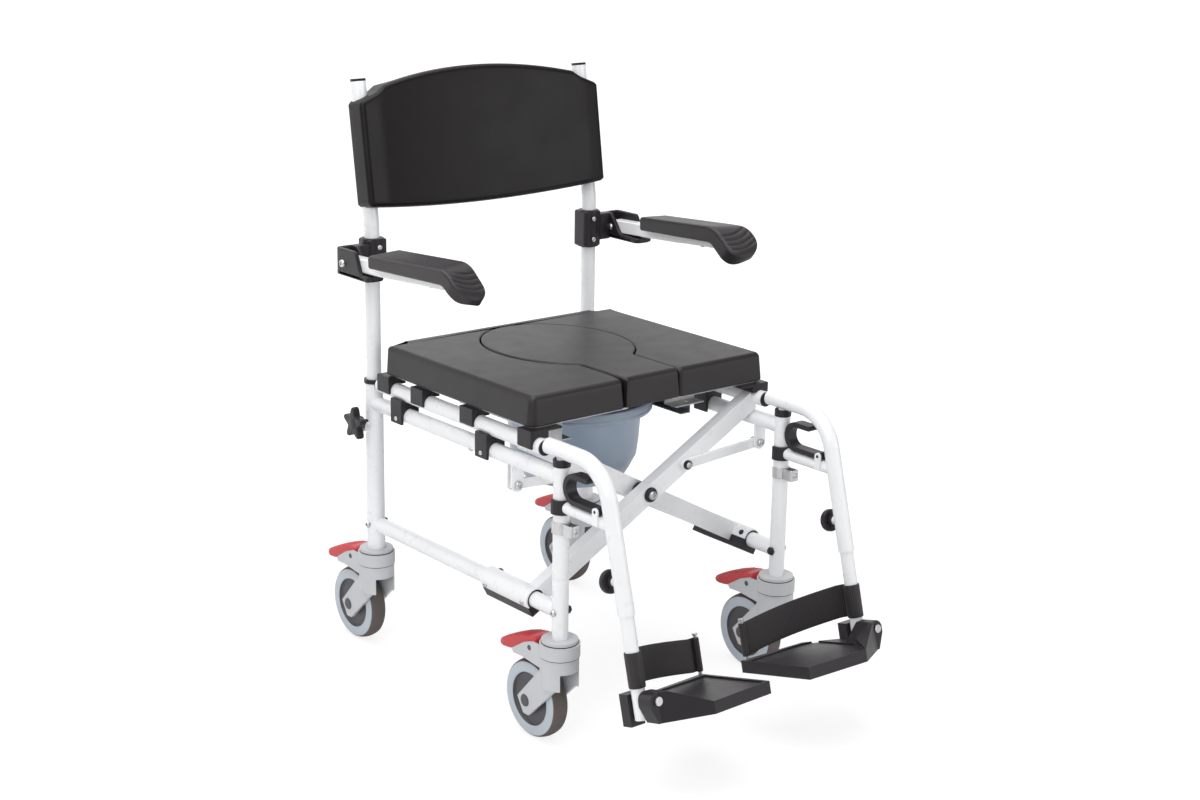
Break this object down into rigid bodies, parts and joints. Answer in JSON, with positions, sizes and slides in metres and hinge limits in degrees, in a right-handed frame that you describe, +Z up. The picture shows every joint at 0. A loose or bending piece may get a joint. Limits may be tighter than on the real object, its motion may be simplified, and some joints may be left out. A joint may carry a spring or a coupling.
{
  "type": "shower commode chair",
  "caption": "Folding shower commode chair on braked castors, with a lift-out seat insert, pull-out pan, flip-up armrests and swing-away footrests.",
  "frame": {"origin": "on the floor, under the middle of the chair's box in plan", "axes": "+Z up, the chair faces -Y, +X towards the occupant's left"},
  "size_m": [0.614, 0.9038, 0.9693],
  "materials": {
    "frame_white": "gloss powder coat on aluminium tube",
    "black_plastic": "moulded charcoal plastic",
    "steel": "bare steel",
    "moulded_foam": "integral-skin foam with a fine grain",
    "pad_rubber": "integral-skin foam",
    "pan_plastic": "grey-blue plastic",
    "webbing": "ribbed webbing",
    "castor_grey": "light grey nylon",
    "wheel_grey": "grey tyre on a light ring",
    "pedal_red": "red plastic with ribs"
  },
  "bodies": {
    "right_frame": {"rear_leg_right": "frame_white", "front_leg_right": "frame_white", "side_rail_right": "frame_white", "lower_rail_right": "frame_white", "rail_saddles_right": "black_plastic", "frame_bolts_right": "steel"},
    "left_frame": {"rear_leg_left": "frame_white", "front_leg_left": "frame_white", "side_rail_left": "frame_white", "lower_rail_left": "frame_white", "rail_saddles_left": "black_plastic", "frame_bolts_left": "steel"},
    "brace_front": {"cross_brace_front": "frame_white", "brace_bearing_front": "black_plastic", "brace_pivot": "black_plastic"},
    "brace_rear": {"cross_brace_rear": "frame_white", "brace_bearing_rear": "black_plastic"},
    "back": {"back_posts": "frame_white", "backrest_panel": "moulded_foam", "armrest_clamps": "black_plastic", "post_caps": "black_plastic"},
    "seat": {"seat_panel": "moulded_foam", "seat_clips": "black_plastic", "pan_holder": "steel"},
    "insert": {"seat_insert": "moulded_foam"},
    "pan_body": {"pan": "pan_plastic"},
    "fold_link_right": {"fold_link_right": "frame_white"},
    "star_knob_right": {"star_knob_right": "black_plastic"},
    "arm_right": {"arm_bar_right": "frame_white", "arm_pad_right": "pad_rubber"},
    "bush_right": {"hanger_bush_right": "black_plastic"},
    "hanger_right": {"hanger_right": "frame_white"},
    "release_lever_right": {"release_lever_right": "black_plastic"},
    "footrest_right": {"footrest_tube_right": "frame_white", "heel_strap_right": "webbing"},
    "length_knob_right": {"length_knob_right": "black_plastic"},
    "footplate_right": {"footplate_right": "black_plastic"},
    "castor_rear_right": {"castor_fork_rear_right": "castor_grey"},
    "wheel_rear_right": {"castor_wheel_rear_right": "wheel_grey"},
    "pedal_rear_right": {"castor_pedal_rear_right": "pedal_red"},
    "castor_front_right": {"castor_fork_front_right": "castor_grey"},
    "wheel_front_right": {"castor_wheel_front_right": "wheel_grey"},
    "pedal_front_right": {"castor_pedal_front_right": "pedal_red"},
    "fold_link_left": {"fold_link_left": "frame_white"},
    "star_knob_left": {"star_knob_left": "black_plastic"},
    "arm_left": {"arm_bar_left": "frame_white", "arm_pad_left": "pad_rubber"},
    "bush_left": {"hanger_bush_left": "black_plastic"},
    "hanger_left": {"hanger_left": "frame_white"},
    "release_lever_left": {"release_lever_left": "black_plastic"},
    "footrest_left": {"footrest_tube_left": "frame_white", "heel_strap_left": "webbing"},
    "length_knob_left": {"length_knob_left": "black_plastic"},
    "footplate_left": {"footplate_left": "black_plastic"},
    "castor_rear_left": {"castor_fork_rear_left": "castor_grey"},
    "wheel_rear_left": {"castor_wheel_rear_left": "wheel_grey"},
    "pedal_rear_left": {"castor_pedal_rear_left": "pedal_red"},
    "castor_front_left": {"castor_fork_front_left": "castor_grey"},
    "wheel_front_left": {"castor_wheel_front_left": "wheel_grey"},
    "pedal_front_left": {"castor_pedal_front_left": "pedal_red"}
  },
  "joints": [
    {"name": "frame_fold", "type": "hinge", "parent": "right_frame", "child": "brace_front", "pos_m": [-0.225, -0.10908, 0.22], "axis": [0, -1, 0], "range_deg": [0, 34]},
    {"name": "brace_scissor", "type": "hinge", "parent": "brace_front", "child": "brace_rear", "pos_m": [0, -0.07908, 0.3425], "axis": [0, -1, 0], "range_deg": [-68.1, 0]},
    {"name": "left_frame_fold", "type": "hinge", "parent": "brace_rear", "child": "left_frame", "pos_m": [0.225, -0.07908, 0.22], "axis": [0, -1, 0], "range_deg": [0, 34.1]},
    {"name": "seat_lift", "type": "slide", "parent": "right_frame", "child": "seat", "axis": [0, 0, 1], "range_m": [0, 0.5936]},
    {"name": "back_lift", "type": "slide", "parent": "right_frame", "child": "back", "axis": [0, 0, 1], "range_m": [0, 0.5936]},
    {"name": "insert_lift", "type": "slide", "parent": "seat", "child": "insert", "axis": [0, 0, 1], "range_m": [0, 0.06]},
    {"name": "pan_pull", "type": "slide", "parent": "seat", "child": "pan_body", "axis": [0, 1, 0], "range_m": [0, 0.3]},
    {"name": "fold_link_right_turn", "type": "hinge", "parent": "right_frame", "child": "fold_link_right", "pos_m": [-0.225, -0.06578, 0.39], "axis": [0, -1, 0], "range_deg": [0, 61.2]},
    {"name": "star_knob_right_turn", "type": "hinge", "parent": "right_frame", "child": "star_knob_right", "pos_m": [-0.255, 0.32093, 0.392], "axis": [-1, 0, 0], "range_deg": [0, 360]},
    {"name": "arm_right_flip", "type": "hinge", "parent": "back", "child": "arm_right", "pos_m": [-0.276, 0.30092, 0.675], "axis": [-1, 0, 0], "range_deg": [0, 90]},
    {"name": "bush_right_turn", "type": "hinge", "parent": "right_frame", "child": "bush_right", "pos_m": [-0.225, -0.17908, 0.43], "axis": [0, 0, 1], "range_deg": [-88.5, 0]},
    {"name": "hanger_right_swing", "type": "hinge", "parent": "bush_right", "child": "hanger_right", "pos_m": [-0.225, -0.17908, 0.43], "axis": [0, 0, 1], "range_deg": [-90, 0]},
    {"name": "release_lever_right_lift", "type": "hinge", "parent": "hanger_right", "child": "release_lever_right", "pos_m": [-0.225, -0.27208, 0.404], "axis": [1, 0, 0], "range_deg": [0, 6]},
    {"name": "footrest_right_length", "type": "slide", "parent": "hanger_right", "child": "footrest_right", "axis": [0, -0.2588, -0.9659], "range_m": [-0.03, 0.06]},
    {"name": "length_knob_right_turn", "type": "hinge", "parent": "hanger_right", "child": "length_knob_right", "pos_m": [-0.225, -0.29046, 0.30141], "axis": [0, 0.9659, -0.2588], "range_deg": [0, 360]},
    {"name": "footplate_right_flip", "type": "hinge", "parent": "footrest_right", "child": "footplate_right", "pos_m": [-0.225, -0.36369, 0.144], "axis": [0, -0.9659, 0.2588], "range_deg": [0, 80], "deforming": ["heel_strap_right"]},
    {"name": "castor_rear_right_swivel", "type": "hinge", "parent": "right_frame", "child": "castor_rear_right", "pos_m": [-0.225, 0.32093, 0.185], "axis": [0, 0, 1], "continuous": true},
    {"name": "wheel_rear_right_spin", "type": "hinge", "parent": "castor_rear_right", "child": "wheel_rear_right", "pos_m": [-0.225, 0.37593, 0.0625], "axis": [1, 0, 0], "continuous": true},
    {"name": "pedal_rear_right_press", "type": "hinge", "parent": "castor_rear_right", "child": "pedal_rear_right", "pos_m": [-0.225, 0.36492, 0.153], "axis": [-1, 0, 0], "range_deg": [0, 10]},
    {"name": "castor_front_right_swivel", "type": "hinge", "parent": "right_frame", "child": "castor_front_right", "pos_m": [-0.225, -0.17908, 0.185], "axis": [0, 0, 1], "continuous": true},
    {"name": "wheel_front_right_spin", "type": "hinge", "parent": "castor_front_right", "child": "wheel_front_right", "pos_m": [-0.225, -0.12408, 0.0625], "axis": [1, 0, 0], "continuous": true},
    {"name": "pedal_front_right_press", "type": "hinge", "parent": "castor_front_right", "child": "pedal_front_right", "pos_m": [-0.225, -0.13508, 0.153], "axis": [-1, 0, 0], "range_deg": [0, 10]},
    {"name": "fold_link_left_turn", "type": "hinge", "parent": "left_frame", "child": "fold_link_left", "pos_m": [0.225, -0.12237, 0.39], "axis": [0, -1, 0], "range_deg": [-61.2, 0]},
    {"name": "star_knob_left_turn", "type": "hinge", "parent": "left_frame", "child": "star_knob_left", "pos_m": [0.255, 0.32093, 0.392], "axis": [1, 0, 0], "range_deg": [0, 360]},
    {"name": "arm_left_flip", "type": "hinge", "parent": "back", "child": "arm_left", "pos_m": [0.276, 0.30092, 0.675], "axis": [-1, 0, 0], "range_deg": [0, 90]},
    {"name": "bush_left_turn", "type": "hinge", "parent": "left_frame", "child": "bush_left", "pos_m": [0.225, -0.17908, 0.43], "axis": [0, 0, -1], "range_deg": [-88.5, 0]},
    {"name": "hanger_left_swing", "type": "hinge", "parent": "bush_left", "child": "hanger_left", "pos_m": [0.225, -0.17908, 0.43], "axis": [0, 0, -1], "range_deg": [-90, 0]},
    {"name": "release_lever_left_lift", "type": "hinge", "parent": "hanger_left", "child": "release_lever_left", "pos_m": [0.225, -0.27208, 0.404], "axis": [1, 0, 0], "range_deg": [0, 6]},
    {"name": "footrest_left_length", "type": "slide", "parent": "hanger_left", "child": "footrest_left", "axis": [0, -0.2588, -0.9659], "range_m": [-0.03, 0.06]},
    {"name": "length_knob_left_turn", "type": "hinge", "parent": "hanger_left", "child": "length_knob_left", "pos_m": [0.225, -0.29046, 0.30141], "axis": [0, 0.9659, -0.2588], "range_deg": [0, 360]},
    {"name": "footplate_left_flip", "type": "hinge", "parent": "footrest_left", "child": "footplate_left", "pos_m": [0.225, -0.36369, 0.144], "axis": [0, 0.9659, -0.2588], "range_deg": [0, 80], "deforming": ["heel_strap_left"]},
    {"name": "castor_rear_left_swivel", "type": "hinge", "parent": "left_frame", "child": "castor_rear_left", "pos_m": [0.225, 0.32093, 0.185], "axis": [0, 0, 1], "continuous": true},
    {"name": "wheel_rear_left_spin", "type": "hinge", "parent": "castor_rear_left", "child": "wheel_rear_left", "pos_m": [0.225, 0.37593, 0.0625], "axis": [1, 0, 0], "continuous": true},
    {"name": "pedal_rear_left_press", "type": "hinge", "parent": "castor_rear_left", "child": "pedal_rear_left", "pos_m": [0.225, 0.36492, 0.153], "axis": [-1, 0, 0], "range_deg": [0, 10]},
    {"name": "castor_front_left_swivel", "type": "hinge", "parent": "left_frame", "child": "castor_front_left", "pos_m": [0.225, -0.17908, 0.185], "axis": [0, 0, 1], "continuous": true},
    {"name": "wheel_front_left_spin", "type": "hinge", "parent": "castor_front_left", "child": "wheel_front_left", "pos_m": [0.225, -0.12408, 0.0625], "axis": [1, 0, 0], "continuous": true},
    {"name": "pedal_front_left_press", "type": "hinge", "parent": "castor_front_left", "child": "pedal_front_left", "pos_m": [0.225, -0.13508, 0.153], "axis": [-1, 0, 0], "range_deg": [0, 10]}
  ],
  "couplings": [
    {"joint": "brace_scissor", "follows": "frame_fold", "ratio": -2},
    {"joint": "left_frame_fold", "follows": "frame_fold", "ratio": 1},
    {"joint": "seat_lift", "follows": "frame_fold", "m_per_rad": 1},
    {"joint": "back_lift", "follows": "frame_fold", "m_per_rad": 1},
    {"joint": "fold_link_right_turn", "follows": "frame_fold", "ratio": 1.797},
    {"joint": "bush_right_turn", "follows": "frame_fold", "ratio": -2.6},
    {"joint": "fold_link_left_turn", "follows": "frame_fold", "ratio": -1.797},
    {"joint": "bush_left_turn", "follows": "frame_fold", "ratio": -2.6}
  ]
}
